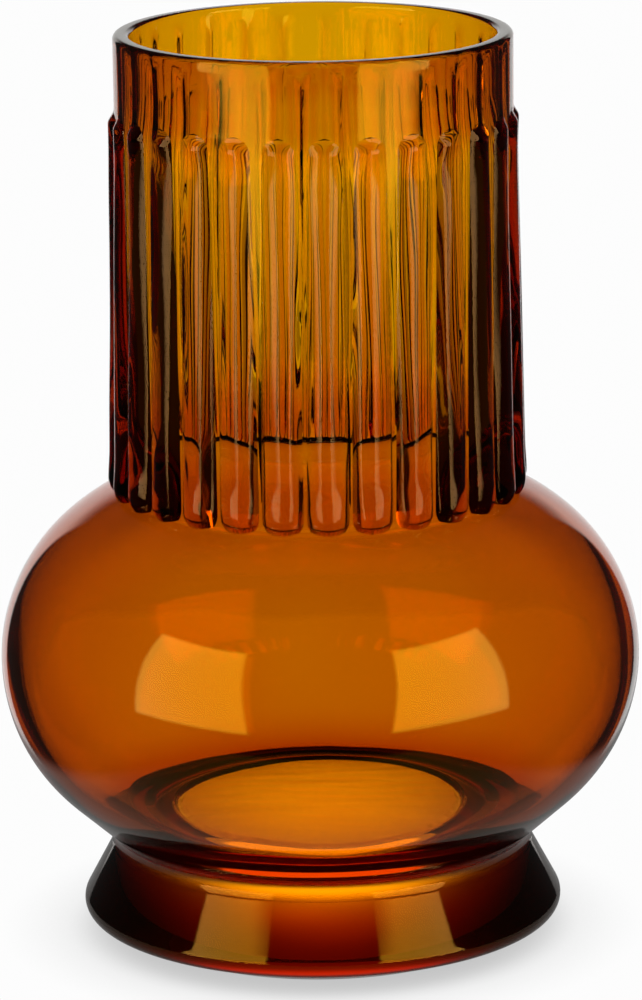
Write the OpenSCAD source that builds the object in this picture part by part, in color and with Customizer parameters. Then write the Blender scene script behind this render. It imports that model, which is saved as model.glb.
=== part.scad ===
// Reeded vase of amber glass: a spreading hollow foot, a merese, a base pad,
// a round bowl, a straight neck and a ring of glass reeds laid on the neck.
// Millimetres, +Z up, origin on the table under the middle of the foot.

/* [Overall] */
// Height of the vase from the table to the lip
height = 300; // [240:1:380]

/* [Neck] */
// Outer diameter of the neck
neck_d = 129; // [100:1:156]
// Thickness of the neck's wall at the lip and at the throat
neck_wall = 5.5; // [4:0.1:8]
// How much thinner the wall is behind the reeds
neck_relief = 3; // [0:0.1:3.2]
// Radius of both rounded edges of the lip
lip_round = 1.6; // [0.8:0.1:1.9]

/* [Reeds] */
// Number of reeds round the neck
reed_count = 28; // [20:1:36]
// How far a reed stands out of the neck at its upper end
reed_rise_top = 2.1; // [1.6:0.1:3.4]
// How far a reed stands out of the neck at its lower end
reed_rise_low = 4.3; // [3.5:0.1:5.4]
// Strip of bare neck between two reeds at their lower ends
reed_land = 1; // [0.4:0.1:2]
// Plain collar between the lip and the tips of the reeds
collar_h = 24; // [10:1:40]
// Height of the middle of a reed's lower round end over the shoulder
reed_lift = 4; // [3:0.1:6]
// Turn of the first reed from the front of the vase, in degrees
reed_turn = 2.8; // [0:0.1:12]

/* [Bowl] */
// Greatest diameter of the bowl
bowl_d = 211; // [172:1:256]
// Radius of the arc that the side of the bowl follows
belly_r = 60; // [50:1:72]
// Thickness of the bowl's wall
bowl_wall = 5.5; // [4.4:0.1:7]
// Radius of the rounded inner edge where the bowl opens into the neck
throat_round = 4; // [2:0.1:4.4]

// How far the seat of the bowl stands over the lowest point of its outer arc
seat_rise = 1.5; // [0.5:0.1:3]

/* [Base pad] */
// How far the floor of the bowl stands over the lowest point of its inner arc
floor_rise = 1; // [0.3:0.1:1.5]
// Thickness of the base pad
pad_t = 3.5; // [3:0.1:4.5]
// Glass between the edge of the base pad and the waist
pad_margin = 19; // [16:0.5:30]

/* [Merese] */
// Diameter of the waist, the narrowest ring over the foot
waist_d = 138; // [114:1:166]
// Height of the merese
merese_h = 6; // [4.5:0.1:8]
// Width of the merese's top face that the bowl stands on
seat_w = 8; // [6:0.5:10]

/* [Foot] */
// Greatest diameter of the foot
foot_d = 159; // [132:1:192]
// Height of the foot up to the merese
foot_h = 28.5; // [23:0.5:34]
// Height of the foot's widest ring over the table
edge_z = 9.7; // [8:0.1:12]
// Radius of the foot's rounded edge
edge_r = 4.5; // [3:0.1:6]
// How far the resting ring's outer side lies inside the foot's edge
undercut = 17; // [12:0.5:22]
// Width of the resting ring
rest_w = 14; // [10:0.5:18]

/* [Hidden] */
$fn = 128;

neck_r = neck_d / 2;
bore_r = neck_r - neck_wall;
waist_r = waist_d / 2;
foot_r = foot_d / 2;

// Levels, from the table up
seat_z = foot_h + merese_h;             // top of the merese, where the bowl stands
belly_z = seat_z - seat_rise + belly_r; // the widest ring of the bowl
floor_z = belly_z - belly_r + bowl_wall + floor_rise;
pad_z = floor_z - pad_t;                // roof of the hollow under the bowl

// Arc of the bowl's side: its middle, and its radius inside the wall
belly_c = bowl_d / 2 - belly_r;
inner_r = belly_r - bowl_wall;
shoulder_z = belly_z + sqrt(pow(belly_r, 2) - pow(neck_r - belly_c, 2));

// Waist: a cove of this radius is cut round the merese
cove_r = merese_h * 5 / 6;
seam_r = waist_r + cove_r - sqrt(pow(cove_r, 2) - pow(merese_h / 2, 2));

// Base pad, and the hollow that widens from the resting ring up to the bowl
pad_r = waist_r - pad_margin;
hollow_r = seam_r - seat_w;
rest_out = foot_r - undercut;
rest_in = rest_out - rest_w;
joint_r = rest_in + (hollow_r - rest_in) * foot_h / seat_z;
roof_run = 4;                           // width of the slope from the bowl's seat to the roof

// Levels between which the neck is thinner inside, and the slopes that lead there
relief_low = shoulder_z + 10;
relief_top = height - collar_h + 6;
relief_run = 20;

// Reeds: rods whose round ends and outer halves stand out of the neck
half_w = PI * neck_r / reed_count - reed_land / 2;
chord_rise = reed_rise_low + pow(half_w, 2) / (2 * neck_r);
rod_r = (pow(half_w, 2) + pow(chord_rise, 2)) / (2 * chord_rise);
rod_low = [neck_r + reed_rise_low - rod_r, shoulder_z + reed_lift];
tip_r = neck_r + reed_rise_top - rod_r;
rod_top = [tip_r, height - collar_h - sqrt(pow(rod_r, 2) - pow(neck_r - tip_r, 2))];
rod_len = norm(rod_top - rod_low);
rod_lean = atan2(rod_low[0] - rod_top[0], rod_top[1] - rod_low[1]);

function reed_name(i) = str("reed_", i < 9 ? "0" : "", i + 1);

// Touching point, on a circle, of the tangent from point p; side is +1 or -1
function touch(p, middle, r, side) =
    let (d = norm(p - middle),
         a = atan2(p[1] - middle[1], p[0] - middle[0]) + side * acos(r / d))
    middle + r * [cos(a), sin(a)];

// Half plane of sections that a rotate_extrude may take, between two levels
module band(low, high) {
    translate([0, low]) square([bowl_d + foot_d, high - low]);
}

// Section of the bowl's outside, from its seat to the shoulder
module bowl_outline() {
    seam = [seam_r, seat_z];
    middle = [belly_c, belly_z];
    foot_of_arc = touch(seam, middle, belly_r, 1);
    intersection() {
        union() {
            translate(middle) circle(r = belly_r);
            polygon([[0, seat_z], seam, foot_of_arc, [0, belly_z]]);
            translate([0, belly_z]) square([neck_r, belly_r]);
        }
        band(seat_z, shoulder_z);
    }
}

// Section of the space inside the bowl, with the rounded throat
module bowl_space() {
    middle = [belly_c, belly_z];
    round_x = bore_r + throat_round;
    round_c = [round_x,
               belly_z + sqrt(pow(inner_r + throat_round, 2) - pow(round_x - belly_c, 2))];
    on_arc = middle + (round_c - middle) * inner_r / (inner_r + throat_round);
    intersection() {
        union() {
            translate(middle) circle(r = inner_r);
            translate([0, floor_z]) square([belly_c, belly_r]);
            translate([0, belly_z]) square([bore_r, belly_r]);
            difference() {
                polygon([round_c, [bore_r, round_c[1]], [bore_r, belly_z], on_arc]);
                translate(round_c) circle(r = throat_round);
            }
        }
        band(floor_z, shoulder_z);
    }
}

// Straight tube with a lip rounded on both edges
module neck() {
    straight = height - shoulder_z - lip_round;
    thin_r = bore_r + neck_relief;
    color("#C8860A") rotate_extrude() {
        polygon([[bore_r, shoulder_z], [neck_r, shoulder_z],
                 [neck_r, shoulder_z + straight], [bore_r, shoulder_z + straight],
                 [bore_r, relief_top], [thin_r, relief_top - relief_run],
                 [thin_r, relief_low + relief_run], [bore_r, relief_low]]);
        translate([bore_r + lip_round, shoulder_z])
            square([neck_wall - 2 * lip_round, straight + lip_round]);
        for (x = [bore_r + lip_round, neck_r - lip_round])
            translate([x, height - lip_round]) circle(r = lip_round);
    }
}

// Round bowl, open into the neck above and seated round the base pad below
module bowl() {
    color("#B45A02") difference() {
        rotate_extrude() bowl_outline();
        rotate_extrude() bowl_space();
        cylinder(r = pad_r, h = floor_z);
        rotate_extrude() polygon([[0, 0], [hollow_r, 0], [hollow_r, seat_z],
                                  [hollow_r - roof_run, pad_z], [0, pad_z]]);
    }
}

// Disc that closes the bottom of the bowl
module base_pad() {
    color("#DC9010") translate([0, 0, pad_z]) cylinder(r = pad_r, h = pad_t);
}

// Ring between bowl and foot, with the waist's cove round it
module merese() {
    color("#7A2A04") rotate_extrude() difference() {
        polygon([[joint_r, foot_h], [seam_r, foot_h], [seam_r, seat_z], [hollow_r, seat_z]]);
        translate([waist_r + cove_r, foot_h + merese_h / 2]) circle(r = cove_r);
    }
}

// Spreading foot, hollow underneath, with a rounded edge and a resting ring
module foot() {
    edge = [foot_r - edge_r, edge_z];
    seam = [seam_r, foot_h];
    rest = [rest_out, 0];
    color("#501804") rotate_extrude() {
        translate(edge) circle(r = edge_r);
        polygon([[rest_in, 0], rest, touch(rest, edge, edge_r, 1), edge,
                 touch(seam, edge, edge_r, -1), seam, [joint_r, foot_h]]);
    }
}

// One reed: a leaning rod with round ends, cut to the neck and the shoulder
module reed(i) {
    turn = reed_turn - 90 + i * 360 / reed_count;
    color("#A86408") difference() {
        rotate([0, 0, turn]) translate([rod_low[0], 0, rod_low[1]])
            rotate([0, -rod_lean, 0]) rotate_extrude() intersection() {
                union() {
                    circle(r = rod_r);
                    square([rod_r, rod_len]);
                    translate([0, rod_len]) circle(r = rod_r);
                }
                translate([0, -rod_r]) square([rod_r, rod_len + 2 * rod_r]);
            }
        cylinder(r = neck_r, h = height);
        rotate_extrude() bowl_outline();
    }
}

neck();
bowl();
base_pad();
merese();
foot();
for (i = [0:reed_count - 1])
    reed(i);
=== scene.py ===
"""Looks of a reeded vase of amber glass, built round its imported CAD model.

The vase is gathered from a neck, a bowl, a base pad, a merese, a foot and a ring of reeds. Each is
a closed piece of glass here too. Where two pieces are fused, their faces lie a hair apart and carry
the attribute SEAM_ATTRIBUTE with a refractive index of 1, so light passes from piece to piece as it
does through one annealed body.
"""

import logging
import math
from dataclasses import dataclass
from enum import Enum

import bpy
import numpy as np
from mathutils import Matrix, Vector


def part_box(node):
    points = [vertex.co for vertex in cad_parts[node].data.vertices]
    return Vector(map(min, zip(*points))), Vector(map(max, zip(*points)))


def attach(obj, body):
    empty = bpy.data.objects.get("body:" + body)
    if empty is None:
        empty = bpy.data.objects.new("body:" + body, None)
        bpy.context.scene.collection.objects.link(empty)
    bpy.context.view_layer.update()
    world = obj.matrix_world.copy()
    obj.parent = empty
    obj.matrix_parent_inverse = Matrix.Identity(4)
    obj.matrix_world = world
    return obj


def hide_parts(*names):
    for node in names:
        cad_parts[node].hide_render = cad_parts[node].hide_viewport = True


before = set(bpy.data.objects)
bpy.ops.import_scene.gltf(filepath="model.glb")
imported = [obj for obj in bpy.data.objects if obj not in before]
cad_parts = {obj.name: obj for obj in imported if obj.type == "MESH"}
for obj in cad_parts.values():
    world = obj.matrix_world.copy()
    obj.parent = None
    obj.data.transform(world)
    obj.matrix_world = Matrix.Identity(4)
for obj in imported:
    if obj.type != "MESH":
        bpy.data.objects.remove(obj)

LOG = logging.getLogger("vase")
MM = 0.001
BODY = "root"
SEAM_ATTRIBUTE = "refraction"
CHILL_ATTRIBUTE = "chill"
CROWN_ATTRIBUTE = "crown"
SEGMENTS_PER_CELL = 12
FUSED_GAP = 0.015           # mm between the faces of two fused pieces
GLASS_IOR = 1.5


class Face(Enum):
    """What the glass of a face meets."""

    FREE = GLASS_IOR        # air, so light bends
    FUSED = 1.0             # the next piece of glass, so light goes straight on


# ---- Small helpers ----

def linear(code: str) -> tuple[float, float, float, float]:
    """Turn an sRGB hex colour into a linear one.

    Args:
        code: The colour as "#RRGGBB".

    Returns:
        Linear red, green, blue and an alpha of 1.
    """
    parts = [int(code[i:i + 2], 16) / 255 for i in (1, 3, 5)]
    curve = [p / 12.92 if p <= 0.04045 else ((p + 0.055) / 1.055) ** 2.4 for p in parts]
    return (*curve, 1.0)


def add_node(tree: bpy.types.NodeTree, kind: str, settings: dict | None = None,
             inputs: dict | None = None) -> bpy.types.Node:
    """Add a node with its settings and its links.

    Args:
        tree: The tree to add to.
        kind: The node's type name.
        settings: Attribute names and values of the node.
        inputs: Socket names or numbers, each with a value or an output socket to link from.

    Returns:
        The new node.
    """
    node = tree.nodes.new(kind)
    for name, value in (settings or {}).items():
        setattr(node, name, value)
    for name, value in (inputs or {}).items():
        socket = node.inputs[name]
        if isinstance(value, bpy.types.NodeSocket):
            tree.links.new(value, socket)
        else:
            socket.default_value = value
    return node


def number(tree: bpy.types.NodeTree, operation: str, *values: object) -> bpy.types.NodeSocket:
    """Add a math node, its inputs in order, and return its output."""
    return add_node(tree, "ShaderNodeMath", {"operation": operation},
                    dict(enumerate(values))).outputs[0]


def vector(tree: bpy.types.NodeTree, operation: str, *values: object) -> bpy.types.NodeSocket:
    """Add a vector math node, its inputs in order, and return its first output."""
    return add_node(tree, "ShaderNodeVectorMath", {"operation": operation},
                    dict(enumerate(values))).outputs[0]


def ramp(tree: bpy.types.NodeTree, place: bpy.types.NodeSocket, low: float,
         high: float) -> bpy.types.NodeSocket:
    """Ease from 0 to 1 as a socket's value goes from low to high."""
    return add_node(tree, "ShaderNodeMapRange", {"interpolation_type": "SMOOTHSTEP"},
                    {0: place, 1: low, 2: high}).outputs[0]


def smooth_step(x: np.ndarray) -> np.ndarray:
    """Ease from 0 to 1 as x goes from 0 to 1."""
    t = np.clip(x, 0.0, 1.0)
    return t * t * (3 - 2 * t)


def arc(middle: tuple[float, float], radius: float, start: float, end: float,
        count: int) -> list[tuple[float, float]]:
    """Points along a circular arc of a section.

    Args:
        middle: The arc's centre as radius from the axis and height, in mm.
        radius: The arc's radius in mm.
        start: First angle in degrees, from the outward direction towards up.
        end: Last angle in degrees.
        count: Number of points, both ends included.

    Returns:
        The points as pairs of radius and height, in mm.
    """
    return [(middle[0] + radius * math.cos(math.radians(a)),
             middle[1] + radius * math.sin(math.radians(a)))
            for a in np.linspace(start, end, count)]


def line(start: tuple[float, float], end: tuple[float, float],
         count: int) -> list[tuple[float, float]]:
    """Points along a straight stretch of a section, both ends included."""
    return [(start[0] + (end[0] - start[0]) * t, start[1] + (end[1] - start[1]) * t)
            for t in np.linspace(0, 1, count)]


def touch_angle(point: tuple[float, float], middle: tuple[float, float], radius: float,
                side: int) -> float:
    """Angle, in degrees, at which the tangent from a point touches a circle.

    Args:
        point: The point outside the circle.
        middle: The circle's centre.
        radius: The circle's radius.
        side: +1 or -1 for the tangent on one side or the other.

    Returns:
        The angle of the touching point, seen from the circle's centre.
    """
    dx, dz = point[0] - middle[0], point[1] - middle[1]
    return math.degrees(math.atan2(dz, dx) + side * math.acos(radius / math.hypot(dx, dz)))


@dataclass(frozen=True)
class Ripple:
    """Slow waves that hand work leaves in a free surface, as a sum of a few sines."""

    depth: float            # mm, the waves' greatest height
    around: tuple[int, ...]         # waves round the vase, one value for each sine
    rise: float             # mm, height over which a wave turns once
    seed: int

    def at(self, angle: np.ndarray, height: np.ndarray) -> np.ndarray:
        """Height of the waves, in mm, at angles in radians and heights in mm."""
        draw = np.random.default_rng(self.seed)
        total = np.zeros(np.broadcast(angle, height).shape)
        for count in self.around:
            shift, lean, sway = draw.uniform(0, 2 * math.pi, 3)
            climb = 2 * math.pi * height / (self.rise * (1 + 0.35 * math.sin(lean)))
            total = total + np.sin(count * angle + shift + 1.3 * np.sin(climb + sway))
        return total * self.depth / len(self.around)


# ---- Sizes shared by the pieces ----

@dataclass(frozen=True)
class Plan:
    """Sizes and levels of the vase that several pieces share, in mm."""

    height: float
    neck_r: float
    shoulder_z: float
    bowl_r: float
    seat_z: float
    floor_z: float
    pad_z: float
    pad_r: float
    seam_r: float
    foot_z: float
    foot_r: float
    reed_top_z: float
    neck_wall: float = 5.5
    neck_relief: float = 3.0        # how much thinner the neck is behind the reeds
    bowl_wall: float = 5.5
    belly_r: float = 60.0
    seat_w: float = 8.0             # width of the ring that the bowl stands on
    roof_run: float = 4.0           # width of the slope from that ring to the hollow's roof
    undercut: float = 17.0
    rest_w: float = 14.0

    @classmethod
    def from_frame(cls) -> "Plan":
        """Read the sizes off the boxes of the CAD nodes."""
        def high(node: str) -> Vector:
            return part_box(node)[1] / MM

        return cls(height=high("neck").z, neck_r=high("neck").x, shoulder_z=high("bowl").z,
                   bowl_r=high("bowl").x, seat_z=high("merese").z, floor_z=high("base_pad").z,
                   pad_z=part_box("base_pad")[0].z / MM, pad_r=high("base_pad").x,
                   seam_r=high("merese").x, foot_z=high("foot").z,
                   foot_r=high("foot").x, reed_top_z=high("reed_01").z)

    @property
    def bore_r(self) -> float:
        """Inner radius of the neck."""
        return self.neck_r - self.neck_wall

    @property
    def belly(self) -> tuple[float, float]:
        """Centre of the arc that the bowl's side follows."""
        middle_r = self.bowl_r - self.belly_r
        return (middle_r, self.shoulder_z
                - math.sqrt(self.belly_r ** 2 - (self.neck_r - middle_r) ** 2))

    @property
    def inner_r(self) -> float:
        """Radius of the inner arc of the bowl's side."""
        return self.belly_r - self.bowl_wall

    @property
    def rest(self) -> tuple[float, float]:
        """Outer and inner radius of the ring that the foot rests on."""
        outer = self.foot_r - self.undercut
        return outer, outer - self.rest_w

    def hollow_at(self, z: float) -> float:
        """Radius of the hollow under the bowl, at a height up to the bowl's seat."""
        top_r, low_r = self.seam_r - self.seat_w, self.rest[1]
        return low_r + (top_r - low_r) * z / self.seat_z

    def shoulder_height(self, radius: np.ndarray) -> np.ndarray:
        """Height of the bowl's shoulder at a distance from the axis."""
        return self.belly[1] + np.sqrt(self.belly_r ** 2 - (radius - self.belly[0]) ** 2)


# ---- Finishes ----

@dataclass(frozen=True)
class AmberGlass:
    """Soda-lime glass coloured with iron and sulphur, fire-polished.

    The colour is in the depth of the glass: red passes, green fades within a wall or two and blue
    is gone in the first millimetres, so thin walls look golden and thick ones dark red. A lustre
    warms the reflection of what it faces, and at a grazing angle the reflection is white.
    """

    name: str
    red: float = 0.0535             # absorbed per mm of glass
    green: float = 0.195
    blue: float = 1.5
    lustre: str = "#FFCC24"
    roughness: float = 0.004
    chill: float = 0.45             # roughness where the glass met a cold tool
    frost: float = 0.0              # how much of the light such a face scatters all ways
    streak_mm: tuple[float, float] = (45.0, 4.0)    # size of the streaks in that frost
    wave_mm: float = 16.0           # width of the waves left by the mould and the tools
    wave_depth_mm: float = 0.02

    def material(self) -> bpy.types.Material:
        """Build the material."""
        mat = bpy.data.materials.new(self.name)
        mat.use_nodes = True
        tree = mat.node_tree
        tree.nodes.clear()
        place = add_node(tree, "ShaderNodeTexCoord").outputs["Object"]
        waves = add_node(tree, "ShaderNodeTexNoise", None,
                         {"Vector": place, "Scale": 1 / (self.wave_mm * MM), "Detail": 1.0})
        bump = add_node(tree, "ShaderNodeBump", None,
                        {"Height": waves.outputs["Fac"], "Strength": 1.0,
                         "Distance": self.wave_depth_mm * MM})
        bend = add_node(tree, "ShaderNodeAttribute", {"attribute_name": SEAM_ATTRIBUTE})
        chill = add_node(tree, "ShaderNodeAttribute", {"attribute_name": CHILL_ATTRIBUTE})
        chilled = chill.outputs["Fac"]
        rough = number(tree, "MULTIPLY_ADD", chilled, self.chill, self.roughness)
        glass = add_node(tree, "ShaderNodeBsdfPrincipled", None,
                         {"Base Color": (1, 1, 1, 1), "Roughness": rough,
                          "IOR": bend.outputs["Fac"], "Transmission Weight": 1.0,
                          "Specular Tint": linear(self.lustre),
                          "Normal": bump.outputs["Normal"]})
        strength = max(self.red, self.green, self.blue) / MM
        keep = [1 - c / MM / strength for c in (self.red, self.green, self.blue)]
        depth = add_node(tree, "ShaderNodeVolumeAbsorption", None,
                         {"Color": (*keep, 1.0), "Density": strength})
        surface = glass.outputs["BSDF"]
        if self.frost:
            along, across = (size * MM for size in self.streak_mm)
            streaks = add_node(tree, "ShaderNodeTexNoise", None,
                               {"Vector": vector(tree, "DIVIDE", place, (along, across, 1)),
                                "Scale": 1.0, "Detail": 2.0, "Distortion": 0.6})
            uneven = add_node(tree, "ShaderNodeMapRange", None, {
                0: streaks.outputs["Fac"], 1: 0.35, 2: 0.65, 3: 0.7 * self.frost, 4: self.frost})
            share = number(tree, "MULTIPLY", chilled, uneven.outputs[0])
            spread = add_node(tree, "ShaderNodeBsdfTranslucent", None, {"Color": (1, 1, 1, 1)})
            surface = add_node(tree, "ShaderNodeMixShader", None,
                               {0: share, 1: surface, 2: spread.outputs[0]}).outputs[0]
        out = add_node(tree, "ShaderNodeOutputMaterial")
        tree.links.new(surface, out.inputs["Surface"])
        tree.links.new(depth.outputs["Volume"], out.inputs["Volume"])
        return mat


# ---- Meshes ----

class Skin:
    """Grid faces of one piece, gathered patch by patch and joined into a closed mesh."""

    def __init__(self) -> None:
        """Start with no faces."""
        self.points: list[np.ndarray] = []
        self.faces: list[np.ndarray] = []
        self.kinds: list[np.ndarray] = []
        self.chills: list[np.ndarray] = []
        self.crowns: list[np.ndarray] = []
        self.count = 0

    def add_patch(self, grid: np.ndarray, kinds: np.ndarray, closed: bool,
                  chill: np.ndarray | float = 0.0, crown: np.ndarray | float = 0.0) -> None:
        """Add a grid of points as quads.

        Args:
            grid: Points in mm, as an array of rows by columns by 3.
            kinds: Refractive index of each quad, an array of rows - 1 by columns (closed) or
                columns - 1.
            closed: Whether the last column joins the first one.
            chill: How much a cold tool roughened the patch or each quad, 0 to 1.
            crown: How freely each point may be moved, 0 where another piece touches it.
        """
        rows, columns = grid.shape[:2]
        ids = np.arange(rows * columns).reshape(rows, columns) + self.count
        after = np.roll(ids, -1, axis=1) if closed else ids[:, 1:]
        here = ids if closed else ids[:, :-1]
        quads = np.stack([here[:-1], after[:-1], after[1:], here[1:]], -1).reshape(-1, 4)
        self.points.append(grid.reshape(-1, 3))
        self.faces.append(quads)
        self.kinds.append(np.broadcast_to(kinds, here[:-1].shape).reshape(-1))
        self.chills.append(np.broadcast_to(chill, here[:-1].shape).reshape(-1))
        self.crowns.append(np.broadcast_to(crown, (rows, columns)).reshape(-1))
        self.count += rows * columns

    def build(self, name: str, material: bpy.types.Material,
              corner: float = 32.0) -> bpy.types.Object:
        """Join the patches into one closed, smooth-shaded mesh object.

        Args:
            name: Name of the object and its mesh.
            material: Its only material.
            corner: Angle in degrees past which an edge stays sharp.

        Returns:
            The object, linked to the scene.
        """
        points = np.concatenate(self.points) * MM
        faces = np.concatenate(self.faces)
        marks = {SEAM_ATTRIBUTE: np.concatenate(self.kinds),
                 CHILL_ATTRIBUTE: np.concatenate(self.chills)}
        keys = np.round(points / (0.002 * MM)).astype(np.int64)
        _, first, same = np.unique(keys, axis=0, return_index=True, return_inverse=True)
        faces = same.reshape(-1)[faces]
        rings = [list(dict.fromkeys(face)) for face in faces.tolist()]
        kept = [i for i, ring in enumerate(rings) if len(ring) > 2]
        mesh = bpy.data.meshes.new(name)
        mesh.from_pydata(points[first].tolist(), [], [rings[i] for i in kept])
        for title, values in marks.items():
            layer = mesh.attributes.new(title, "FLOAT", "FACE")
            layer.data.foreach_set("value", values[kept].astype(np.float32))
        crowns = np.concatenate(self.crowns)[first]
        if crowns.any():
            layer = mesh.attributes.new(CROWN_ATTRIBUTE, "FLOAT", "POINT")
            layer.data.foreach_set("value", crowns.astype(np.float32))
        mesh.materials.append(material)
        mesh.shade_smooth()
        mesh.set_sharp_from_angle(angle=math.radians(corner))
        mesh.validate()
        piece = bpy.data.objects.new(name, mesh)
        bpy.context.scene.collection.objects.link(piece)
        return piece


def turned(rows: list[tuple[float, float]], angles: np.ndarray,
           ripple: np.ndarray | float = 0.0) -> np.ndarray:
    """Points of a surface turned round the axis.

    Args:
        rows: Radius and height of each row, in mm.
        angles: Angles in radians, one list for all rows or one for each row.
        ripple: Distance that points move out from the axis, in mm.

    Returns:
        An array of rows by angles by 3, in mm.
    """
    rows = np.asarray(rows, float)
    angles = np.broadcast_to(angles, (len(rows), np.shape(angles)[-1]))
    radius = rows[:, :1] + ripple
    return np.stack([radius * np.cos(angles), radius * np.sin(angles),
                     np.broadcast_to(rows[:, 1:], angles.shape)], -1)


# ---- Reeds ----

@dataclass(frozen=True)
class Reed:
    """One reed: a leaning rod of glass with round ends, laid on the neck while both were hot."""

    rod_r: float                    # mm
    low: tuple[float, float]        # mm, radius and height of the middle of the lower end
    top: tuple[float, float]        # mm, the same for the upper end
    under_r: float                  # mm, radius of the neck that it lies on
    taper: float = 5.0              # mm over which its upper end melts into the neck

    @property
    def tip_z(self) -> float:
        """Height of the reed's upper tip."""
        return self.top[1] + math.sqrt(self.rod_r ** 2 - (self.under_r - self.top[0]) ** 2)

    def slice(self, z: np.ndarray) -> tuple[np.ndarray, np.ndarray]:
        """Level cut through the rod.

        Args:
            z: Heights in mm.

        Returns:
            Distance of the rod's middle from the axis, and its radius there, zero past its ends.
        """
        along = np.clip((z - self.low[1]) / (self.top[1] - self.low[1]), 0, 1)
        distance = self.low[0] + (self.top[0] - self.low[0]) * along
        past = np.maximum(np.maximum(self.low[1] - z, z - self.top[1]), 0)
        return distance, np.sqrt(np.maximum(self.rod_r ** 2 - past ** 2, 0))

    def half_angle(self, r: np.ndarray, z: np.ndarray) -> np.ndarray:
        """Half the angle that the reed covers on the glass under it, at radius r and height z."""
        distance, radius = self.slice(z)
        cosine = (r ** 2 + distance ** 2 - radius ** 2) / (2 * distance * r)
        inside = (radius > 0) & (distance + radius > r)
        return np.where(inside, np.arccos(np.clip(cosine, -1, 1)), 0.0)

    def reach(self, turn: np.ndarray, z: np.ndarray) -> np.ndarray:
        """Distance of the reed's outside from the axis, at an angle off its crest."""
        distance, radius = self.slice(z)
        inner = np.maximum(radius ** 2 - (distance * np.sin(turn)) ** 2, 0)
        reach = distance * np.cos(turn) + np.sqrt(inner)
        melt = smooth_step((self.tip_z - z) / self.taper) ** 0.7
        return np.where(z > self.top[1] - self.taper,
                        self.under_r + (reach - self.under_r) * melt, reach)


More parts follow.
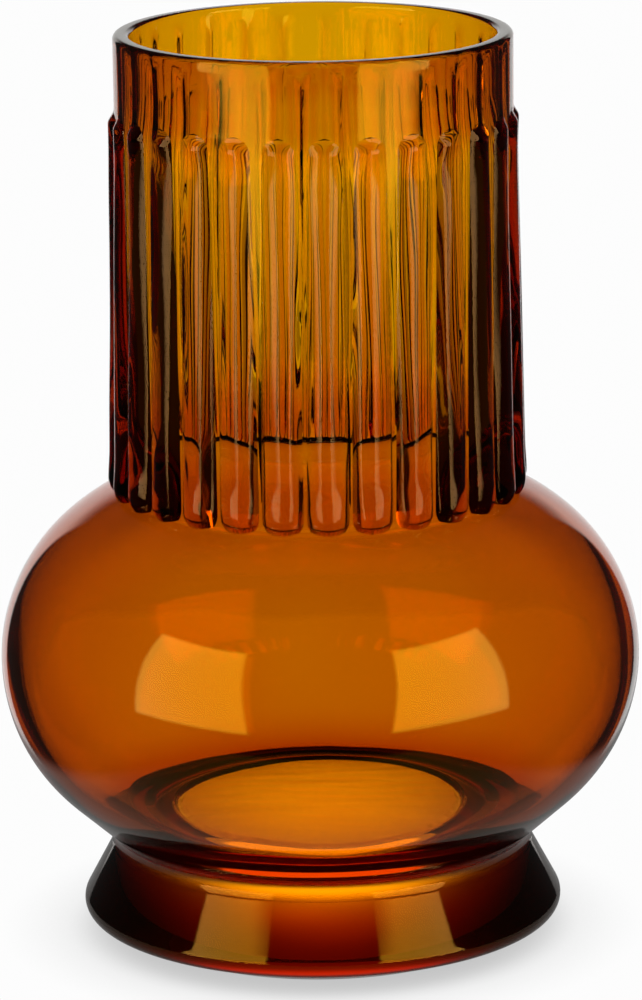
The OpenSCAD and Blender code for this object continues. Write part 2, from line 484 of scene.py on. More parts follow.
@dataclass
class ReedRing:
    """The reeds round the neck, and how the glass under them is parted into bare and covered."""

    plan: Plan
    count: int = 28
    rise_top: float = 2.1           # mm, how far a reed stands out at its upper end
    rise_low: float = 4.3
    land: float = 1.0               # mm of bare neck between two reeds at their lower ends
    lift: float = 4.0               # mm from the shoulder to the middle of a lower round end
    turn: float = 2.8               # degrees from the front to the first reed
    sag: float = 0.80               # mm, how far the hot glass sank in places
    sway: float = 2.4               # mm, how far the crests stray sideways
    grain: tuple[float, float] = (9.0, 55.0)   # mm, size of that unevenness across and along
    calm: tuple[float, float] = (16.0, 10.0)    # mm at the upper and lower end where it fades
    seed: int = 7
    shoulder_step: float = 0.22     # mm between rows on the shoulder
    low_step: float = 0.4           # mm between rows at the lower ends
    long_step: float = 2.5          # mm between rows along the reeds
    tip_step: float = 0.3           # mm between rows at the tips

    def __post_init__(self) -> None:
        """Shape the reed, and choose the heights at which it is cut into rows."""
        plan = self.plan
        half = math.pi * plan.neck_r / self.count - self.land / 2
        chord = self.rise_low + half ** 2 / (2 * plan.neck_r)
        rod_r = (half ** 2 + chord ** 2) / (2 * chord)
        tip_r = plan.neck_r + self.rise_top - rod_r
        cap = math.sqrt(rod_r ** 2 - (plan.neck_r - tip_r) ** 2)
        self.reed = Reed(rod_r=rod_r, under_r=plan.neck_r,
                         low=(plan.neck_r + self.rise_low - rod_r, plan.shoulder_z + self.lift),
                         top=(tip_r, plan.reed_top_z - cap))
        self.azimuths = [math.radians(self.turn - 90 + i * 360 / self.count)
                         for i in range(self.count)]
        self.neck_rows = self._neck_rows(rod_r)
        self.shoulder_rows = self._shoulder_rows()

    def _neck_rows(self, rod_r: float) -> list[tuple[float, float]]:
        """Rows on the neck, from the shoulder up past the tips."""
        plan = self.plan
        low_end = plan.shoulder_z + self.lift + 1
        tips = plan.reed_top_z - rod_r - 1
        z = np.concatenate([np.arange(plan.shoulder_z + FUSED_GAP, low_end, self.low_step),
                            np.arange(low_end, tips, self.long_step),
                            np.arange(tips, plan.reed_top_z + self.tip_step, self.tip_step)])
        return [(plan.neck_r, height) for height in z]

    def _shoulder_rows(self) -> list[tuple[float, float]]:
        """Rows on the bowl's shoulder, from past the reeds' lower ends in to the neck."""
        plan = self.plan
        r = np.arange(plan.neck_r + self.rise_low, plan.neck_r, -self.shoulder_step)
        return [(radius, float(plan.shoulder_height(radius))) for radius in [*r, plan.neck_r]]

    def parted(self, rows: list[tuple[float, float]]) -> np.ndarray:
        """Angles that part each row into bare and covered stretches.

        Args:
            rows: Radius and height of each row, in mm.

        Returns:
            Angles in radians, an array of rows by (reeds times SEGMENTS_PER_CELL).
        """
        r, z = np.asarray(rows, float).T
        pitch = 2 * math.pi / self.count
        half = SEGMENTS_PER_CELL // 2
        bare = SEGMENTS_PER_CELL // 4
        cells = []
        cover = self.reed.half_angle(r, z)[:, None]
        for crest in self.azimuths:
            low, high = crest - pitch / 2, crest + pitch / 2
            first = low + (crest - cover - low) * np.arange(bare) / bare
            under = crest + cover * (2 * np.arange(half) / half - 1)
            last = crest + cover + (high - crest - cover) * np.arange(bare) / bare
            cells.append(np.concatenate([first, under, last], 1))
        return np.concatenate(cells, 1)

    def kinds(self, rows: list[tuple[float, float]]) -> np.ndarray:
        """Refractive index of each face between the rows that parted() parts."""
        r, z = np.asarray(rows, float).T
        bare = SEGMENTS_PER_CELL // 4
        cover = self.reed.half_angle(r, z)
        cell = np.full((len(rows) - 1, SEGMENTS_PER_CELL), Face.FREE.value)
        cell[(cover[1:] > 0) | (cover[:-1] > 0), bare:3 * bare] = Face.FUSED.value
        return np.tile(cell, self.count)

    def evenly(self) -> np.ndarray:
        """Evenly spaced angles, as many as parted() gives."""
        total = self.count * SEGMENTS_PER_CELL
        first = self.azimuths[0] - math.pi / self.count
        return first + 2 * math.pi * np.arange(total) / total

    @staticmethod
    def _fold_steps() -> np.ndarray:
        """Places of a cell's columns from the fold at its start, as parts of the cell."""
        near = np.array([0, 0.02, 0.045, 0.08, 0.14, 0.25])
        return np.concatenate([near, [0.5], 1 - near[:0:-1]])

    def folds(self) -> np.ndarray:
        """Angles of columns that crowd round the gap between each two reeds."""
        pitch = 2 * math.pi / self.count
        starts = self.azimuths[0] - pitch / 2 + pitch * np.arange(self.count)
        return (starts[:, None] + pitch * self._fold_steps()).reshape(-1)

    def from_fold(self) -> np.ndarray:
        """Signed distance of each column of folds() from the nearest gap, as part of a cell."""
        steps = self._fold_steps()
        return np.tile(np.where(steps > 0.5, steps - 1, steps), self.count)[None]

    def build(self, material: bpy.types.Material) -> None:
        """Build one reed, lay its copies round the neck and let them stand for the CAD reeds."""
        piece = self._build_one(material)
        tree = ReedTree()
        mod = piece.modifiers.new(tree.title, "NODES")
        mod.node_group = tree.build()
        sizes = {"Count": self.count, "First Angle": self.azimuths[0], "Sag": self.sag * MM,
                 "Sway": self.sway * MM, "Grain Across": self.grain[0] * MM,
                 "Grain Along": self.grain[1] * MM, "Seed": self.seed, "Glass": material}
        for item in mod.node_group.interface.items_tree:
            if item.name in sizes:
                mod[item.identifier] = sizes[item.name]
        graph = bpy.context.evaluated_depsgraph_get()
        mesh = bpy.data.meshes.new_from_object(piece.evaluated_get(graph))
        piece.modifiers.remove(mod)
        piece.data = mesh
        mesh.name = piece.name
        finish(piece, "reed_glass", *(f"reed_{i + 1:02d}" for i in range(self.count)))

    def _build_one(self, material: bpy.types.Material) -> bpy.types.Object:
        """Build one closed reed on the +X side, from its outside and its back."""
        reed = self.reed
        r, z = np.asarray(self.shoulder_rows[:-1] + self.neck_rows, float).T
        cover = reed.half_angle(r, z)
        used = np.flatnonzero(cover > 0)
        span = slice(max(used[0] - 1, 0), used[-1] + 2)
        r, z, cover = r[span, None], z[span, None], cover[span, None]
        outer_s = np.sin(np.linspace(-1, 1, 23) * math.pi / 2)[None]
        turn = cover * outer_s
        reach = np.where(cover > 0, np.maximum(reed.reach(turn, z), r), r)
        outside = np.stack([reach * np.cos(turn), reach * np.sin(turn),
                            np.broadcast_to(z, reach.shape)], -1)
        crown = ((1 - outer_s ** 2) * smooth_step((reed.tip_z - z) / self.calm[0])
                 * smooth_step((z - reed.low[1]) / self.calm[1]))
        half = SEGMENTS_PER_CELL // 2
        inner_s = np.linspace(-1, 1, half + 1)[None]
        angle = cover * inner_s
        gap = np.where(np.abs(inner_s) < 1, FUSED_GAP, 0.0) * (cover > 0)
        on_neck = r <= self.plan.neck_r
        back_r = r + np.where(on_neck, gap, 0.0)
        back_z = z + np.where(on_neck, 0.0, gap)
        back = np.stack([back_r * np.cos(angle), back_r * np.sin(angle),
                         np.broadcast_to(back_z, angle.shape)], -1)
        skin = Skin()
        skin.add_patch(outside, np.array(Face.FREE.value), closed=False, crown=crown)
        skin.add_patch(back[:, ::-1], np.array(Face.FUSED.value), closed=False)
        return skin.build("reeds_glass", material)


@dataclass(frozen=True)
class ReedTree:
    """Geometry Nodes tree that lays copies of a reed round the axis, each uneven in its own way.

    Only points with a crown attribute move: inwards by up to Sag, and sideways by up to half of
    Sway. The reed's back and its edges keep to the glass under them.
    """

    title: str = "reed_ring"
    noise_step: float = 7.3         # how far one seed's noise lies from the next one's
    noise_gap: float = 31.7         # how far the noise that sways lies from the one that sinks

    def build(self) -> bpy.types.GeometryNodeTree:
        """Build the tree with its named inputs."""
        tree = bpy.data.node_groups.new(self.title, "GeometryNodeTree")
        for name, kind in (("Reed", "Geometry"), ("Count", "Int"), ("First Angle", "Float"),
                           ("Sag", "Float"), ("Sway", "Float"), ("Grain Across", "Float"),
                           ("Grain Along", "Float"), ("Seed", "Int"), ("Glass", "Material")):
            tree.interface.new_socket(name, in_out="INPUT", socket_type="NodeSocket" + kind)
        tree.interface.new_socket("Reeds", in_out="OUTPUT", socket_type="NodeSocketGeometry")
        sizes = add_node(tree, "NodeGroupInput").outputs
        copies = self._lay(tree, sizes)
        shaped = self._shift(tree, sizes, copies)
        glazed = add_node(tree, "GeometryNodeSetMaterial", None,
                          {"Geometry": shaped, "Material": sizes["Glass"]})
        add_node(tree, "NodeGroupOutput", None, {0: glazed.outputs[0]})
        return tree

    @staticmethod
    def _lay(tree: bpy.types.NodeTree, sizes: bpy.types.NodeOutputs) -> bpy.types.NodeSocket:
        """Turn a copy of the reed to each place round the axis, and make the copies real."""
        points = add_node(tree, "GeometryNodeMeshLine", None,
                          {"Count": sizes["Count"], "Offset": (0, 0, 0)})
        index = add_node(tree, "GeometryNodeInputIndex").outputs[0]
        pitch = number(tree, "DIVIDE", 2 * math.pi, sizes["Count"])
        angle = number(tree, "MULTIPLY_ADD", index, pitch, sizes["First Angle"])
        turn = add_node(tree, "ShaderNodeCombineXYZ", None, {"Z": angle}).outputs[0]
        copies = add_node(tree, "GeometryNodeInstanceOnPoints", None,
                          {"Points": points.outputs[0], "Instance": sizes["Reed"],
                           "Rotation": turn})
        return add_node(tree, "GeometryNodeRealizeInstances", None,
                        {0: copies.outputs[0]}).outputs[0]

    def _shift(self, tree: bpy.types.NodeTree, sizes: bpy.types.NodeOutputs,
               reeds: bpy.types.NodeSocket) -> bpy.types.NodeSocket:
        """Sink and sway the crests by a noise that is drawn out along the reeds."""
        place = add_node(tree, "GeometryNodeInputPosition").outputs[0]
        grain = add_node(tree, "ShaderNodeCombineXYZ", None,
                         {"X": sizes["Grain Across"], "Y": sizes["Grain Across"],
                          "Z": sizes["Grain Along"]}).outputs[0]
        out = vector(tree, "NORMALIZE", vector(tree, "MULTIPLY", place, (1, 1, 0)))
        aside = vector(tree, "CROSS_PRODUCT", (0, 0, 1), out)
        noises = []
        for offset in (0.0, self.noise_gap):
            seed = number(tree, "MULTIPLY_ADD", sizes["Seed"], self.noise_step, offset)
            noises.append(add_node(tree, "ShaderNodeTexNoise", {"noise_dimensions": "4D"},
                                   {"Vector": vector(tree, "DIVIDE", place, grain), "W": seed,
                                    "Scale": 1.0, "Detail": 0.0}).outputs["Fac"])
        crown = add_node(tree, "GeometryNodeInputNamedAttribute", {"data_type": "FLOAT"},
                         {"Name": CROWN_ATTRIBUTE}).outputs["Attribute"]
        sink = number(tree, "MULTIPLY", number(tree, "SUBTRACT", noises[0], 1.0), sizes["Sag"])
        swing = number(tree, "MULTIPLY", number(tree, "SUBTRACT", noises[1], 0.5), sizes["Sway"])
        pair = []
        for way, amount in ((out, sink), (aside, swing)):
            both = add_node(tree, "ShaderNodeCombineXYZ", None,
                            dict.fromkeys("XYZ", number(tree, "MULTIPLY", amount, crown)))
            pair.append(vector(tree, "MULTIPLY", way, both.outputs[0]))
        return add_node(tree, "GeometryNodeSetPosition", None,
                        {"Geometry": reeds, "Offset": vector(tree, "ADD", *pair)}).outputs[0]


# ---- Turned pieces ----

@dataclass
class Neck:
    """Straight tube with a lip rounded on both edges."""

    plan: Plan
    ring: ReedRing
    lip_round: float = 1.6
    relief_ends: tuple[float, float] = (10.0, 18.0)     # mm from the shoulder and from the lip
    relief_run: float = 20.0
    calm: tuple[float, float] = (7.0, 9.0)      # mm at the upper and lower end without waves
    ripple: Ripple = Ripple(depth=0.16, around=(5, 11, 14, 28), rise=160, seed=3)
    fold_rise: float = 1.1          # mm, height of the folds that the ribbed mould left inside
    fold_width: float = 1.5         # mm, half the width of a fold
    fold_stray: float = 0.7         # mm, how far a fold strays sideways
    fold_pull: float = 0.3          # part of a cell that strays with its fold
    seed: int = 17

    def build(self, material: bpy.types.Material) -> None:
        """Build the tube, fused to the bowl below and to the reeds outside."""
        plan, ring = self.plan, self.ring
        covered = ring.neck_rows
        skin = Skin()
        skin.add_patch(turned(covered, ring.parted(covered)), ring.kinds(covered), closed=True)
        top = covered[-1]
        lip_z = plan.height - self.lip_round
        collar = line(top, (plan.neck_r, lip_z), 9)
        lip = (arc((plan.neck_r - self.lip_round, lip_z), self.lip_round, 0, 90, 9)
               + arc((plan.bore_r + self.lip_round, lip_z), self.lip_round, 90, 180, 9))
        start, even = ring.parted([top])[0], ring.evenly()
        ease = smooth_step(np.linspace(0, 1, len(collar)))[:, None]
        skin.add_patch(turned(collar, start + (even - start) * ease),
                       np.array(Face.FREE.value), closed=True)
        skin.add_patch(turned(lip, even), np.array(Face.FREE.value), closed=True)
        bottom_z = plan.shoulder_z + FUSED_GAP
        skin.add_patch(self._bore(lip_z, bottom_z), np.array(Face.FREE.value), closed=True)
        foot = np.stack([turned([(plan.bore_r, bottom_z)], even)[0],
                         turned([covered[0]], ring.parted([covered[0]]))[0]])
        skin.add_patch(foot, np.array(Face.FUSED.value), closed=True)
        finish(skin.build("neck_glass", material), "neck_glass", "neck")

    def _bore(self, lip_z: float, bottom_z: float) -> np.ndarray:
        """Inside of the neck: thinner behind the reeds, with a fold behind each gap.

        Args:
            lip_z: Height of the bore's upper end in mm.
            bottom_z: Height of its lower end in mm.

        Returns:
            Its points from the top down, as rows by columns by 3, in mm.
        """
        plan, ring = self.plan, self.ring
        z = np.linspace(lip_z, bottom_z, 90)[:, None]
        low = plan.shoulder_z + self.relief_ends[0]
        high = plan.height - self.relief_ends[1]
        thin = (smooth_step((z - low) / self.relief_run)
                * smooth_step((high - z) / self.relief_run))
        ends = (smooth_step((lip_z - z) / self.calm[0])
                * smooth_step((z - bottom_z) / self.calm[1]))
        even, folds, away = ring.evenly(), ring.folds(), ring.from_fold()
        draw = np.random.default_rng(self.seed)
        shift, lean, swell = draw.uniform(-1, 1, (3, ring.count))
        per = [np.repeat(v, SEGMENTS_PER_CELL)[None] for v in (shift, lean, swell)]
        climb = (lip_z - z) / (lip_z - bottom_z)
        stray = (self.fold_stray / plan.bore_r
                 * (per[0] * climb + np.sin((5 + 3 * per[1]) * climb + 3 * per[2])))
        near = np.exp(-(away / self.fold_pull) ** 2)
        angles = even + (folds + stray * near - even) * ends
        width = self.fold_width * (1 + 0.4 * per[1])
        fold = np.exp(-(away * 2 * math.pi * plan.bore_r / ring.count / width) ** 2)
        rise = self.fold_rise * (0.75 + 0.35 * np.sin(9 * climb * per[0] + 4 * per[2]))
        radius = (plan.bore_r + plan.neck_relief * thin
                  + (self.ripple.at(even[None], z) - fold * rise) * ends)
        return np.stack([radius * np.cos(angles), radius * np.sin(angles),
                         np.broadcast_to(z, radius.shape)], -1)


@dataclass
class Bowl:
    """Round bowl, open into the neck above and closed by the base pad below."""

    plan: Plan
    ring: ReedRing
    throat_round: float = 4.0
    inner_ripple: Ripple = Ripple(depth=0.22, around=(3, 5, 8, 13), rise=95, seed=11)
    outer_ripple: Ripple = Ripple(depth=0.16, around=(4, 7, 9), rise=120, seed=5)

    def build(self, material: bpy.types.Material) -> None:
        """Build the shell, with its inside and outside slightly waved."""
        plan, ring = self.plan, self.ring
        even = ring.evenly()
        free, fused = np.array(Face.FREE.value), np.array(Face.FUSED.value)
        belly_c, belly_z = plan.belly
        skin = Skin()
        shoulder = ring.shoulder_rows
        skin.add_patch(turned(shoulder, ring.parted(shoulder)), ring.kinds(shoulder), True)
        start = shoulder[0]
        seam = (plan.seam_r, plan.seat_z)
        top_angle = math.degrees(math.atan2(start[1] - belly_z, start[0] - belly_c))
        low_angle = touch_angle(seam, plan.belly, plan.belly_r, 1)
        side = arc(plan.belly, plan.belly_r, low_angle, top_angle, 110)
        side = line(seam, side[0], 14)[:-1] + side
        side_grid = self._waved(side, even, self.outer_ripple, plan.belly)
        side_grid[-1] = turned([start], ring.parted([start]))[0]
        skin.add_patch(side_grid, free, True)
        round_r = plan.bore_r + self.throat_round
        reach = plan.inner_r + self.throat_round
        round_z = belly_z + math.sqrt(reach ** 2 - (round_r - belly_c) ** 2)
        meet = math.degrees(math.atan2(round_z - belly_z, round_r - belly_c))
        throat = (line((plan.bore_r, plan.shoulder_z), (plan.bore_r, round_z), 3)[:-1]
                  + arc((round_r, round_z), self.throat_round, 180, 180 + meet, 12)[:-1])
        floor_angle = math.degrees(math.asin((plan.floor_z - belly_z) / plan.inner_r))
        inside = throat + arc(plan.belly, plan.inner_r, meet, floor_angle, 120)
        skin.add_patch(self._waved(inside, even, self.inner_ripple, plan.belly), free, True)
        hole = plan.pad_r + FUSED_GAP
        skin.add_patch(turned([inside[-1], (hole, plan.floor_z)], even), free, True)
        seat = (plan.seam_r - plan.seat_w, plan.seat_z)
        roof = [(hole, plan.pad_z), (seat[0] - plan.roof_run, plan.pad_z), seat]
        skin.add_patch(turned([(hole, plan.floor_z), roof[0]], even), fused, True)
        skin.add_patch(turned(roof, even), free, True, chill=0.15)
        skin.add_patch(turned([seat, seam], even), fused, True)
        crown = np.stack([turned([shoulder[-1]], ring.parted([shoulder[-1]]))[0],
                          turned([inside[0]], even)[0]])
        skin.add_patch(crown, fused, True)
        finish(skin.build("bowl_glass", material), "bowl_glass", "bowl")

    @staticmethod
    def _waved(rows: list[tuple[float, float]], angles: np.ndarray, ripple: Ripple,
               middle: tuple[float, float]) -> np.ndarray:
        """Turn rows round the axis and wave them inwards, with both ends left still."""
        section = np.asarray(rows, float)
        away = section - middle
        away /= np.linalg.norm(away, axis=1)[:, None]
        along = np.linspace(0, 1, len(rows))[:, None]
        fade = smooth_step(along / 0.12) * smooth_step((1 - along) / 0.12)
        sink = (ripple.at(angles[None], section[:, 1:]) - ripple.depth) * fade
        r = section[:, :1] + away[:, :1] * sink
        z = section[:, 1:] + away[:, 1:] * sink
        return np.stack([r * np.cos(angles), r * np.sin(angles), z], -1)


@dataclass
class BasePad:
    """Disc that closes the bottom of the bowl, with a faintly waved top."""

    plan: Plan
    ring: ReedRing
    ripple: Ripple = Ripple(depth=0.12, around=(2, 3, 5), rise=30, seed=23)
    streak: float = 0.05            # mm, height of the chill lines across the floor
    dish: float = 0.5               # mm, how far the floor lies under its rim
    rim: float = 4.5                # mm, width of the slope that leads there
    groove: tuple[float, float, float] = (47.6, 1.8, 1.0)   # mm, radius, depth and half width
    clear_r: float = 49.2           # mm, radius past which its underside is clear
    wobble: tuple[float, float, float] = (12, 7, 10)    # waves of rim, groove and clear edge

    def build(self, material: bpy.types.Material) -> None:
        """Build the disc."""
        plan, even = self.plan, self.ring.evenly()
        free, fused = np.array(Face.FREE.value), np.array(Face.FUSED.value)
        skin = Skin()
        under = line((0, plan.pad_z), (plan.pad_r, plan.pad_z), 100)
        distance = np.array([r for r, _ in under[1:]])[:, None]
        rim_wobble, groove_wobble, clear_wobble = self.wobble
        stray = self.ripple.at(even[None], np.zeros((1, 1)))
        bright = self.clear_r + clear_wobble * stray
        skin.add_patch(turned(under, even), free, True,
                       chill=1 - 0.95 * smooth_step((distance - bright) / 2))
        side = [(plan.pad_r, plan.pad_z), (plan.pad_r, plan.floor_z)]
        skin.add_patch(turned(side, even), fused, True)
        top = line((plan.pad_r, plan.floor_z), (0, plan.floor_z), 150)
        reach = np.array([r for r, _ in top])[:, None]
        grid = turned(top, even)
        width = self.rim + rim_wobble * stray
        fade = smooth_step((plan.pad_r - 1 - reach) / width) * smooth_step(reach / 10)
        x, y = grid[..., 0], grid[..., 1]       # the lines are 7 mm apart, bent by slower waves
        streaks = np.sin(y * 0.9 + 1.6 * np.sin(x * 0.11) + 0.8 * np.sin(x * 0.23 + y * 0.31))
        sink = (self.ripple.at(even[None], reach) + self.streak * streaks
                - self.ripple.depth - self.streak)
        grid[..., 2] += sink * fade - self.dish * smooth_step((plan.pad_r - 1 - reach) / width)
        middle, deep, half = self.groove
        groove = np.exp(-((reach - middle - groove_wobble * stray) / half) ** 2)
        grid[..., 2] -= deep * groove * smooth_step((plan.pad_r - reach) / 1.0)
        skin.add_patch(grid, free, True)
        finish(skin.build("base_pad_glass", material), "pad_glass", "base_pad")


@dataclass
class Merese:
    """Ring between bowl and foot, with the waist's cove round it."""

    plan: Plan
    ring: ReedRing

    def build(self, material: bpy.types.Material) -> None:
        """Build the ring."""
        plan, even = self.plan, self.ring.evenly()
        free, fused = np.array(Face.FREE.value), np.array(Face.FUSED.value)
        low, high = plan.foot_z + FUSED_GAP, plan.seat_z - FUSED_GAP
        tall = plan.seat_z - plan.foot_z
        cove_r = tall * 5 / 6
        bite = math.degrees(math.asin(tall / 2 / cove_r))
        cove_x = plan.seam_r + math.sqrt(cove_r ** 2 - (tall / 2) ** 2)
        cove = arc((cove_x, plan.foot_z + tall / 2), cove_r, 180 + bite, 180 - bite, 18)
        cove[0], cove[-1] = (cove[0][0], low), (cove[-1][0], high)
        top, bottom = (plan.hollow_at(high), high), (plan.hollow_at(low), low)
        skin = Skin()
        skin.add_patch(turned(cove, even), free, True)
        skin.add_patch(turned([cove[-1], top], even), fused, True)
        skin.add_patch(turned([top, bottom], even), free, True, chill=1.0)
        skin.add_patch(turned([bottom, cove[0]], even), fused, True)
        finish(skin.build("merese_glass", material), "foot_glass", "merese")


@dataclass
class Foot:
    """Spreading foot, hollow underneath, with a rounded edge and a resting ring."""

    plan: Plan
    ring: ReedRing
    edge_r: float = 4.5
    edge_z: float = 9.7
    ripple: Ripple = Ripple(depth=0.12, around=(3, 5, 9), rise=30, seed=31)

    def build(self, material: bpy.types.Material) -> None:
        """Build the foot."""
        plan, even = self.plan, self.ring.evenly()
        free, fused = np.array(Face.FREE.value), np.array(Face.FUSED.value)
        edge = (plan.foot_r - self.edge_r, self.edge_z)
        seam = (plan.seam_r, plan.foot_z)
        rest, rest_in = [(radius, 0.0) for radius in plan.rest]
        low = touch_angle(rest, edge, self.edge_r, 1)
        high = touch_angle(seam, edge, self.edge_r, -1)
        rim = arc(edge, self.edge_r, low, high, 24)
        outside = line(rest, rim[0], 10)[:-1] + rim + line(rim[-1], seam, 14)[1:]
        hollow = (plan.hollow_at(plan.foot_z), plan.foot_z)
        skin = Skin()
        skin.add_patch(turned(outside, even), free, True)
        skin.add_patch(turned([seam, hollow], even), fused, True)
        inside = line(hollow, rest_in, 16)
        heights = np.array([z for _, z in inside])[:, None]
        fade = np.sin(math.pi * heights / plan.foot_z)
        skin.add_patch(turned(inside, even, -self.ripple.at(even[None], heights) * fade),
                       free, True, chill=1.0)
        skin.add_patch(turned([rest_in, rest], even), free, True)
        finish(skin.build("foot_glass", material), "foot_glass", "foot")


def finish(piece: bpy.types.Object, slot: str, *nodes: str) -> None:
    """Let a piece ride on the vase's body and stand for its CAD nodes.

    Args:
        piece: The finished mesh object.
        slot: The record's material slot; not used.
        nodes: The CAD nodes that it stands for.
    """
    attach(piece, BODY)
    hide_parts(*nodes)
    LOG.info("%s: %d faces for %s", piece.name, len(piece.data.polygons), ", ".join(nodes))


# ---- Studio ----

@dataclass(frozen=True)
class Edge:
    """Straight edge of a light, in degrees of azimuth from the camera's side and of elevation.

    The light is on the side where azimuth times `turn` plus elevation times `rise` is over `limit`.
    """

    turn: float
    rise: float
    limit: float
    soft: float = 1.2


@dataclass
class Studio:
    """Narrow white sweep behind and under the vase, two softboxes beside the camera, dark sides."""

    sweep_half: float = 25.0            # degrees either side of straight behind
    sweep_top: float = 14.0             # degrees of elevation where the sweep ends
    sweep_width: float = 0.31           # m, the part of it that lies on the table
    sweep_ends: tuple[float, float] = (-0.26, 0.42)     # m, in front of the vase and behind it
    box_light: float = 5.2              # brightness of a softbox, seen in a reflection
    through_light: float = 0.88         # brightness of any panel, seen through the glass
    panels: tuple[float, ...] = (45.0, 90.0)            # degrees from straight behind
    panel_half: float = 13.0
    panel_light: float = 0.44
    dim: float = 0.024
    white: float = 0.98
    back_light: float = 0.88            # brightness of the upright part of the sweep
    table_r: float = 3.0                # m
    table_gap: float = 0.0003           # m between the table and the foot
    table_mirrored: float = 0.25         # brightness of the table, seen in a reflection
    under_light: float = 3.0            # brightness of the table's middle, inside the hollow foot
    under_r: float = 0.036              # m, radius of that spot
    under_soft: float = 0.006           # m, over which it fades
    table_soft: float = 0.015           # m, half of that over which the sweep's edge on it fades
    painted_contact_shade: tuple[float, float] = (0.03, 0.45)     # m, reach of the painted shade round the vase, and its depth
    box: tuple[Edge, ...] = (Edge(1, -0.1, 26.0), Edge(-1, 0, -69.0),
                             Edge(0, -1, -35.5), Edge(-0.11, 1, -15.8))

    def build_world(self) -> None:
        """Paint the light that comes from each direction."""
        world = bpy.data.worlds.new("studio")
        bpy.context.scene.world = world
        world.use_nodes = True
        tree = world.node_tree
        tree.nodes.clear()
        way = add_node(tree, "ShaderNodeTexCoord").outputs["Generated"]
        xyz = add_node(tree, "ShaderNodeSeparateXYZ", None, {0: way}).outputs
        back = self._degrees(tree, "ABSOLUTE", number(tree, "ARCTAN2", xyz["X"], xyz["Y"]))
        front = number(tree, "SUBTRACT", 180.0, back)
        lift = self._degrees(tree, None, number(tree, "ARCSINE", xyz["Z"]))
        path = add_node(tree, "ShaderNodeLightPath").outputs
        mirrored = number(tree, "MINIMUM", path["Glossy Depth"], 1.0)
        through = number(tree, "SUBTRACT", 1.0, mirrored)
        sweep = self._inside(tree, back, lift, (Edge(-1, 0, -self.sweep_half, 1.5),
                                                Edge(0, -1, -self.sweep_top, 6.0)))
        box = self._inside(tree, front, lift, self.box)
        level = self._mix(tree, through, self.box_light, self.through_light)
        light = number(tree, "MULTIPLY_ADD", box, level, self.dim)
        light = number(tree, "MAXIMUM", light,
                           number(tree, "MULTIPLY", sweep, self.back_light))
        for middle in self.panels:
            panel = self._inside(tree, back, lift, (
                Edge(1, 0, middle - self.panel_half), Edge(-1, 0, -middle - self.panel_half)))
            seen = number(tree, "MULTIPLY", panel, through)
            seen = number(tree, "MULTIPLY", seen, self.panel_light)
            light = number(tree, "MAXIMUM", light, seen)
        light = self._mix(tree, path["Is Camera Ray"], light, self.white)
        glow = add_node(tree, "ShaderNodeBackground", None,
                        {"Color": (1, 1, 1, 1), "Strength": light})
        out = add_node(tree, "ShaderNodeOutputWorld")
        tree.links.new(glow.outputs[0], out.inputs["Surface"])

    @staticmethod
    def _mix(tree: bpy.types.NodeTree, share: bpy.types.NodeSocket, first: object,
             second: object) -> bpy.types.NodeSocket:
        """Blend two numbers by a share from 0 to 1."""
        return add_node(tree, "ShaderNodeMix", {"data_type": "FLOAT"},
                        {0: share, 2: first, 3: second}).outputs[0]

    def _degrees(self, tree: bpy.types.NodeTree, operation: str | None,
                 angle: bpy.types.NodeSocket) -> bpy.types.NodeSocket:
        """Turn radians into degrees, after an operation if one is given."""
        if operation:
            angle = number(tree, operation, angle)
        return number(tree, "DEGREES", angle)

    def _inside(self, tree: bpy.types.NodeTree, azimuth: bpy.types.NodeSocket,
                elevation: bpy.types.NodeSocket, edges: tuple[Edge, ...]) -> bpy.types.NodeSocket:
        """1 inside all the edges and 0 outside."""
        total = None
        for edge in edges:
            place = number(tree, "MULTIPLY", azimuth, edge.turn)
            place = number(tree, "MULTIPLY_ADD", elevation, edge.rise, place)
            share = ramp(tree, place, edge.limit - edge.soft, edge.limit + edge.soft)
            total = share if total is None else number(tree, "MULTIPLY", total, share)
        return total

    def build_table(self) -> None:
        """Lay a white table. Only the sweep on it is lit; beyond that, glass sees the dark room."""
        mesh = bpy.data.meshes.new("table")
        ring = [(self.table_r * math.cos(a), self.table_r * math.sin(a), -self.table_gap)
                for a in np.linspace(0, 2 * math.pi, 96, endpoint=False)]
        mesh.from_pydata(ring, [], [list(range(len(ring)))])
        table = bpy.data.objects.new("table", mesh)
        bpy.context.scene.collection.objects.link(table)
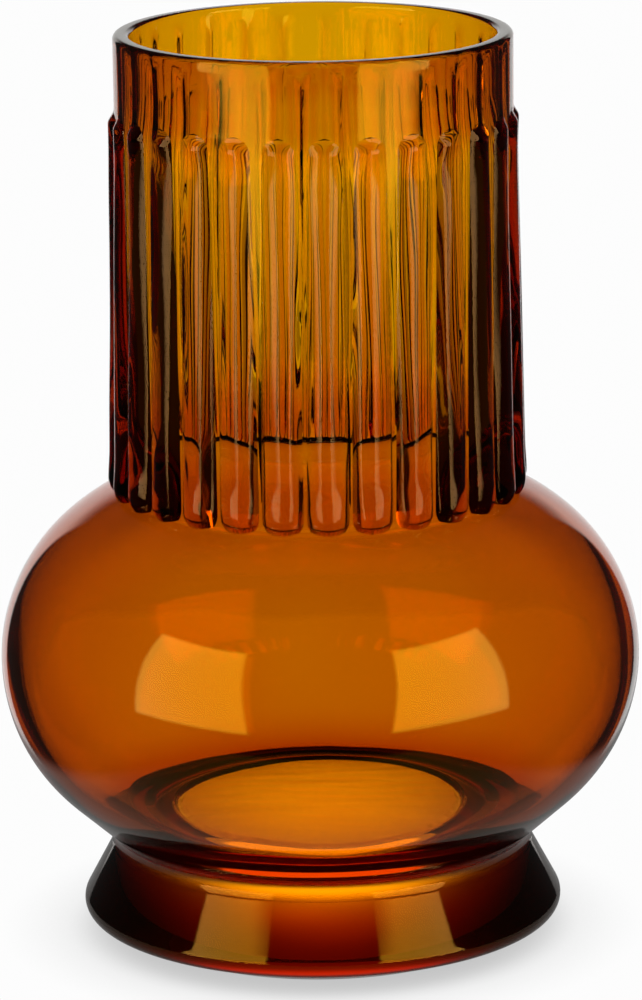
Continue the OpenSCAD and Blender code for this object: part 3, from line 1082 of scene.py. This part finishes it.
        # White acrylic: the eye sees an even white with a soft painted shade where the vase stands,
        # darkened by ambient occlusion.
        mat = bpy.data.materials.new("table_acrylic_painted_shade")
        mat.use_nodes = True
        tree = mat.node_tree
        tree.nodes.clear()
        place = add_node(tree, "ShaderNodeTexCoord").outputs["Object"]
        xyz = add_node(tree, "ShaderNodeSeparateXYZ", None, {0: place}).outputs
        across = number(tree, "ABSOLUTE", xyz["X"])
        soft, half, (near_end, far_end) = self.table_soft, self.sweep_width / 2, self.sweep_ends
        lit = None
        for value, low, high in ((across, half + soft, half - soft),
                                 (xyz["Y"], near_end - soft, near_end + soft),
                                 (xyz["Y"], far_end + soft, far_end - soft)):
            share = ramp(tree, value, low, high)
            lit = share if lit is None else number(tree, "MULTIPLY", lit, share)
        # Painted shade: ambient occlusion darkens the table's glow near the vase, as the camera
        # sees it.
        reach, depth = self.painted_contact_shade
        near = add_node(tree, "ShaderNodeAmbientOcclusion", {"samples": 8}, {"Distance": reach})
        shade = number(tree, "MULTIPLY_ADD", near.outputs["AO"], depth, self.white - depth)
        path = add_node(tree, "ShaderNodeLightPath").outputs
        camera = path["Is Camera Ray"]
        mirrored = number(tree, "MINIMUM", path["Glossy Depth"], 1.0)
        away = add_node(tree, "ShaderNodeVectorMath", {"operation": "LENGTH"},
                        {0: place}).outputs["Value"]
        under = ramp(tree, away, self.under_r + self.under_soft, self.under_r)
        level = self._mix(tree, mirrored, self.white, self.table_mirrored)
        level = self._mix(tree, under, level, self.under_light)
        glow = add_node(tree, "ShaderNodeEmission", None,
                        {"Strength": self._mix(tree, camera, level, shade)})
        clear = add_node(tree, "ShaderNodeBsdfTransparent")
        share = number(tree, "MAXIMUM", camera, lit)
        mix = add_node(tree, "ShaderNodeMixShader", None,
                       {0: share, 1: clear.outputs[0], 2: glow.outputs[0]})
        out = add_node(tree, "ShaderNodeOutputMaterial")
        tree.links.new(mix.outputs[0], out.inputs["Surface"])
        mesh.materials.append(mat)


@dataclass(frozen=True)
class Camera:
    """Long lens, a little over the vase's middle, as for a catalogue picture."""

    distance: float = 1.708             # m, from the middle of the vase
    rise: float = 13.92                 # degrees over the horizon
    lens: float = 187.2                 # mm on a 36 mm high frame
    aim: tuple[float, float, float] = (0.0009, 0.0, 0.1444)
    roll: float = -0.67                 # degrees

    def build(self) -> None:
        """Place the camera and make it the scene's."""
        data = bpy.data.cameras.new("camera")
        data.lens = self.lens
        data.sensor_fit = "VERTICAL"
        data.sensor_height = 36.0
        data.clip_end = 20.0
        cam = bpy.data.objects.new("camera", data)
        bpy.context.scene.collection.objects.link(cam)
        rise = math.radians(self.rise)
        middle = Vector((0, 0, 0.15))
        cam.location = middle + self.distance * Vector((0, -math.cos(rise), math.sin(rise)))
        look = (Vector(self.aim) - cam.location).to_track_quat("-Z", "Y")
        cam.rotation_euler = look.to_euler()
        cam.rotation_euler.rotate_axis("Z", math.radians(self.roll))
        bpy.context.scene.camera = cam


def set_light_paths() -> None:
    """Let light through all the walls of glass, and show colours as they are."""
    scene = bpy.context.scene
    scene.cycles.max_bounces = 40
    scene.cycles.transmission_bounces = 40
    scene.cycles.glossy_bounces = 12
    scene.cycles.transparent_max_bounces = 16
    scene.cycles.sample_clamp_indirect = 12.0
    scene.view_settings.view_transform = "Standard"


def main() -> None:
    """Build the vase, the studio and the camera."""
    logging.basicConfig(level=logging.INFO, format="%(name)s: %(message)s")
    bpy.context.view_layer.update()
    plan = Plan.from_frame()
    ring = ReedRing(plan)
    clear = AmberGlass("amber_glass").material()
    ring.build(AmberGlass("reed_amber_glass", lustre="#D09A58", wave_mm=24.0,
                          wave_depth_mm=0.01).material())
    Neck(plan, ring).build(clear)
    Bowl(plan, ring).build(clear)
    BasePad(plan, ring).build(AmberGlass("chilled_amber_glass", frost=0.95).material())
    low = AmberGlass("foot_amber_glass", lustre="#FFB020").material()
    Merese(plan, ring).build(low)
    Foot(plan, ring).build(low)
    studio = Studio()
    studio.build_world()
    studio.build_table()
    Camera().build()
    set_light_paths()


if __name__ == "__main__":
    main()
